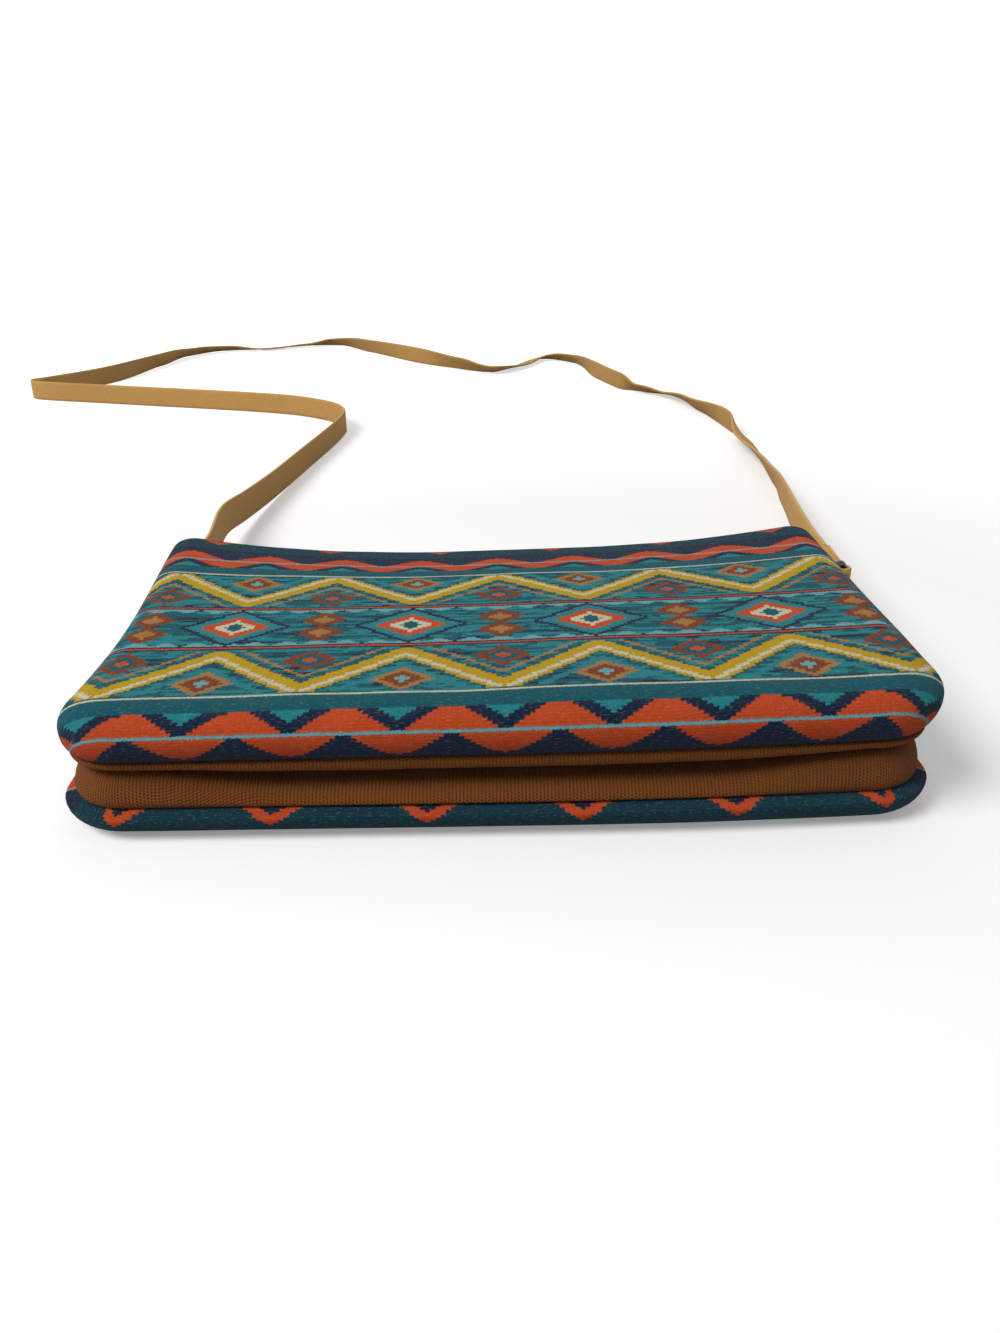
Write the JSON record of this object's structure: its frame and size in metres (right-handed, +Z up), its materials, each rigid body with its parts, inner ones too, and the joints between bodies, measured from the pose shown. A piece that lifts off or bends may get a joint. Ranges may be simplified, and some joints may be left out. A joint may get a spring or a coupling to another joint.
{
  "type": "crossbody bag",
  "caption": "Flat soft crossbody bag with padded wool panels, an inward folding canvas gusset, a zip along its top edge and a long webbing strap on side rings.",
  "frame": {"origin": "on the surface under the middle of the bag, which lies on its back panel", "axes": "+X along the bag's width to the right, +Y from the bottom edge towards the zip, +Z up out of the front panel"},
  "size_m": [0.4785, 0.8056, 0.036],
  "materials": {
    "patterned_wool": "felted wool, woven in coloured bands",
    "lining_cotton": "plain cotton",
    "brown_canvas": "ribbed canvas",
    "zip_tape": "woven zip tape",
    "zip_teeth": "nylon coil",
    "black_metal": "black lacquer",
    "tan_webbing": "ribbed webbing"
  },
  "bodies": {
    "bag": {"front_panel": "patterned_wool", "back_panel": "patterned_wool", "front_lining": "lining_cotton", "back_lining": "lining_cotton", "gusset": "brown_canvas", "zip_tab_left": "brown_canvas", "zip_tab_right": "brown_canvas", "zip_tape_front": "zip_tape", "zip_tape_back": "zip_tape", "zip_teeth_front": "zip_teeth", "zip_teeth_back": "zip_teeth", "zip_bottom_stop": "black_metal", "zip_top_stop_front": "black_metal", "zip_top_stop_back": "black_metal", "ring_tab_left": "brown_canvas", "ring_tab_right": "brown_canvas", "strap_end_left": "tan_webbing", "strap_end_right": "tan_webbing", "strap": "tan_webbing"},
    "slider": {"zip_slider": "black_metal"},
    "pull": {"zip_pull": "black_metal"},
    "left_ring": {"strap_ring_left": "black_metal"},
    "right_ring": {"strap_ring_right": "black_metal"}
  },
  "joints": [
    {"name": "zip_travel", "type": "slide", "parent": "bag", "child": "slider", "axis": [-1, 0, 0], "range_m": [0, 0.15]},
    {"name": "pull_swing", "type": "hinge", "parent": "slider", "child": "pull", "pos_m": [0.0751, 0.06106, 0.0144], "axis": [0, 0, -1], "range_deg": [0, 175]},
    {"name": "left_ring_swing", "type": "hinge", "parent": "bag", "child": "left_ring", "pos_m": [-0.1067, 0.046, 0.0159], "axis": [0, 0, 1], "range_deg": [-10, 10]},
    {"name": "right_ring_swing", "type": "hinge", "parent": "bag", "child": "right_ring", "pos_m": [0.1067, 0.046, 0.0181], "axis": [0, 0, 1], "range_deg": [-10, 10]}
  ]
}
